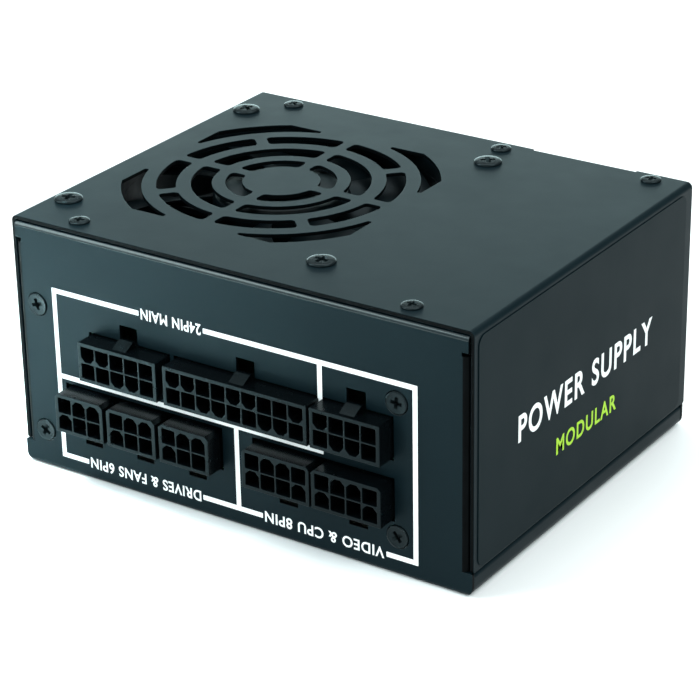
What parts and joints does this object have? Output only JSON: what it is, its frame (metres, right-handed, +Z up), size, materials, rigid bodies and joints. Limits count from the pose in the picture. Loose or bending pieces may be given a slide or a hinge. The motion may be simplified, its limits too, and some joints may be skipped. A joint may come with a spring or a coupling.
{
  "type": "power supply unit",
  "caption": "Small desktop computer power supply in a folded black steel case, with a top fan, cable sockets on one face and a mains inlet and switch on the other.",
  "frame": {"origin": "centre of the case's flat underside", "axes": "+X along the case's width, -Y out of the face with the cable sockets, +Y out of the face with the mains inlet, +Z up through the fan grille"},
  "size_m": [0.1256, 0.1069, 0.065],
  "materials": {
    "case_coat": "fine matte powder coat, black with a cool cast",
    "black_screw": "black zinc",
    "socket_plastic": "moulded nylon",
    "fan_plastic": "satin moulded plastic",
    "inlet_plastic": "satin moulded plastic",
    "bright_steel": "bright nickel plate",
    "bearing_brass": "sintered",
    "copper": "enamelled copper",
    "circuit_board": "green solder mask",
    "insulating_film": "translucent film",
    "side_label": "matte printed film",
    "rating_label": "matte printed film",
    "cable_sheath": "soft sheath",
    "component_body": "shrink sleeve",
    "aluminium": "plain extruded",
    "ferrite": "sintered ferrite",
    "yellow_film": "taped winding"
  },
  "bodies": {
    "case": {"ac_inlet": "inlet_plastic", "base_shell": "case_coat", "board_screw_1": "bright_steel", "board_screw_2": "bright_steel", "board_screw_3": "bright_steel", "board_screw_4": "bright_steel", "bridge_rectifier": "component_body", "bulk_capacitor": "component_body", "control_board": "circuit_board", "cover_screw_1": "black_screw", "cover_screw_2": "black_screw", "cover_screw_3": "black_screw", "cover_screw_4": "black_screw", "cover_screw_5": "black_screw", "emi_choke": "copper", "fan_bearing": "bearing_brass", "fan_cable": "cable_sheath", "fan_circuit_board": "circuit_board", "fan_frame": "fan_plastic", "fan_screw_1": "black_screw", "fan_screw_2": "black_screw", "fan_screw_3": "black_screw", "fan_screw_4": "black_screw", "fan_stator": "copper", "inlet_earth_blade": "bright_steel", "inlet_line_blade": "bright_steel", "inlet_neutral_blade": "bright_steel", "insulator_sheet": "insulating_film", "line_wire": "cable_sheath", "main_board": "circuit_board", "main_transformer": "ferrite", "neutral_wire": "cable_sheath", "output_busbar": "copper", "output_capacitor_1": "component_body", "output_capacitor_2": "component_body", "pfc_choke": "copper", "primary_heatsink": "aluminium", "rating_label": "rating_label", "secondary_heatsink": "aluminium", "side_label": "side_label", "socket_10_pin": "socket_plastic", "socket_18_pin": "socket_plastic", "socket_6_pin_1": "socket_plastic", "socket_6_pin_2": "socket_plastic", "socket_6_pin_3": "socket_plastic", "socket_8_pin_1": "socket_plastic", "socket_8_pin_2": "socket_plastic", "socket_8_pin_3": "socket_plastic", "socket_board": "circuit_board", "socket_screw_1": "black_screw", "socket_screw_2": "black_screw", "socket_screw_3": "black_screw", "socket_screw_4": "black_screw", "standby_transformer": "yellow_film", "switch_housing": "inlet_plastic", "top_cover": "case_coat", "x_capacitor": "yellow_film"},
    "fan_impeller": {"fan_rotor": "fan_plastic", "fan_shaft": "bright_steel"},
    "mains_rocker": {"switch_rocker": "inlet_plastic"}
  },
  "joints": [
    {"name": "fan_spin", "type": "hinge", "parent": "case", "child": "fan_impeller", "pos_m": [-0.02125, 0.0007, 0.055], "axis": [0, 0, 1], "continuous": true},
    {"name": "switch_rock", "type": "hinge", "parent": "case", "child": "mains_rocker", "pos_m": [0.0335, 0.0474, 0.027], "axis": [0, 0, 1], "range_deg": [0, 20]}
  ]
}
